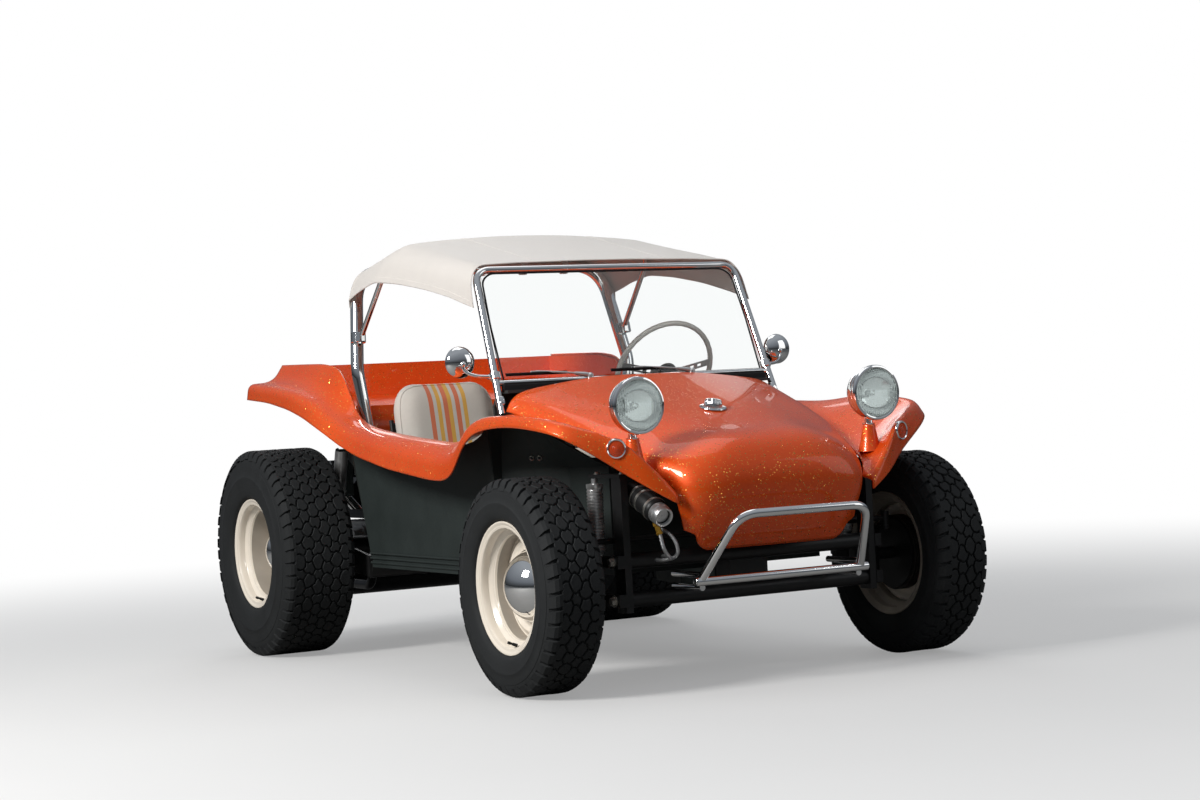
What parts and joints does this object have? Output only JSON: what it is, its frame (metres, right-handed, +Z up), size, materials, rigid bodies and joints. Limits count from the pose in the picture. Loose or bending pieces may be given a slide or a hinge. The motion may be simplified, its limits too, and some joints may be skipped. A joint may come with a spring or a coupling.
{
  "type": "dune buggy",
  "caption": "Open two-seat dune buggy: moulded tub with sweeping fenders, tube bumpers, canvas top and rear air-cooled engine.",
  "frame": {"origin": "on the ground under the middle of the whole vehicle's box", "axes": "+X to the vehicle's left, front facing -Y, +Z up"},
  "size_m": [1.754, 3.146, 1.534],
  "materials": {
    "amber_lens": "ribbed amber-red lens",
    "black_steel": "satin black paint",
    "black_textured_paint": "matt textured black coating",
    "cast_alloy": "as-cast alloy",
    "chrome": "bright plated tube and trim",
    "clear_glass": "clear",
    "cream_paint": "cream enamel",
    "grey_plastic": "pale grey rim",
    "orange_gelcoat": "glossy metal-flake orange over glass-fibre",
    "red_lens": "ribbed red lens",
    "silver_steel": "silver",
    "striped_canvas": "off-white woven cloth with orange and mustard stripes",
    "tyre_rubber": "black rubber",
    "white_canvas": "off-white canvas"
  },
  "bodies": {
    "chassis": {"air_cleaners": "chrome", "body_side_left": "orange_gelcoat", "body_side_right": "orange_gelcoat", "canister": "black_steel", "canopy": "white_canvas", "cowl": "black_textured_paint", "engine": "cast_alloy", "exhaust": "black_steel", "fan_belt": "tyre_rubber", "fan_shroud": "black_steel", "floor_pan": "black_textured_paint", "footwell": "black_textured_paint", "front_axle": "black_steel", "front_bumper": "chrome", "front_shocks": "silver_steel", "fuel_filler": "chrome", "gearbox": "cast_alloy", "headlight_lenses": "clear_glass", "headlights": "chrome", "hood": "orange_gelcoat", "marker_lights": "amber_lens", "mirrors": "chrome", "rear_axle": "black_steel", "rear_bumper": "chrome", "rear_shocks": "silver_steel", "rear_tub": "orange_gelcoat", "roll_bar": "chrome", "seat_left": "striped_canvas", "seat_right": "striped_canvas", "side_panel_left": "black_textured_paint", "side_panel_right": "black_textured_paint", "steering_box": "black_steel", "tail_lights": "red_lens", "top_bow": "chrome", "windshield_frame": "chrome", "windshield_glass": "clear_glass", "wipers": "chrome"},
    "knuckle_right": {"knuckle_right": "black_steel"},
    "knuckle_left": {"knuckle_left": "black_steel"},
    "pitman": {"pitman_arm": "black_steel"},
    "tie_rods": {"tie_rods": "black_steel"},
    "steering_wheel": {"steering_wheel": "grey_plastic"},
    "wheel_front_left": {"tyre_front_left": "tyre_rubber", "rim_front_left": "cream_paint"},
    "wheel_front_right": {"tyre_front_right": "tyre_rubber", "rim_front_right": "cream_paint"},
    "wheel_rear_left": {"tyre_rear_left": "tyre_rubber", "rim_rear_left": "cream_paint"},
    "wheel_rear_right": {"tyre_rear_right": "tyre_rubber", "rim_rear_right": "cream_paint"}
  },
  "joints": [
    {"name": "steer_right", "type": "hinge", "parent": "chassis", "child": "knuckle_right", "pos_m": [-0.575, -1.08, 0.3386], "axis": [0, 0, 1], "range_deg": [-26, 26]},
    {"name": "steer_left", "type": "hinge", "parent": "chassis", "child": "knuckle_left", "pos_m": [0.575, -1.08, 0.3386], "axis": [0, 0, 1], "range_deg": [-26, 26]},
    {"name": "pitman_turn", "type": "hinge", "parent": "chassis", "child": "pitman", "pos_m": [0.3, -1.08, 0.44], "axis": [0, 0, 1], "range_deg": [-26, 26]},
    {"name": "tie_rod_pin", "type": "hinge", "parent": "pitman", "child": "tie_rods", "pos_m": [0.3, -1.165, 0.462], "axis": [0, 0, 1], "range_deg": [-26, 26]},
    {"name": "steering_wheel_turn", "type": "hinge", "parent": "chassis", "child": "steering_wheel", "pos_m": [0.33, -0.18, 0.995], "axis": [0, 0.8829, 0.4695], "range_deg": [-364, 364]},
    {"name": "spin_front_left", "type": "hinge", "parent": "knuckle_left", "child": "wheel_front_left", "pos_m": [0.715, -1.08, 0.3386], "axis": [1, 0, 0], "continuous": true},
    {"name": "spin_front_right", "type": "hinge", "parent": "knuckle_right", "child": "wheel_front_right", "pos_m": [-0.715, -1.08, 0.3386], "axis": [1, 0, 0], "continuous": true},
    {"name": "spin_rear_left", "type": "hinge", "parent": "chassis", "child": "wheel_rear_left", "pos_m": [0.732, 0.952, 0.3916], "axis": [1, 0, 0], "continuous": true},
    {"name": "spin_rear_right", "type": "hinge", "parent": "chassis", "child": "wheel_rear_right", "pos_m": [-0.732, 0.952, 0.3916], "axis": [1, 0, 0], "continuous": true}
  ],
  "couplings": [
    {"joint": "steer_left", "follows": "steer_right", "ratio": 1},
    {"joint": "pitman_turn", "follows": "steer_right", "ratio": 1},
    {"joint": "tie_rod_pin", "follows": "steer_right", "ratio": -1},
    {"joint": "steering_wheel_turn", "follows": "steer_right", "ratio": 14}
  ]
}
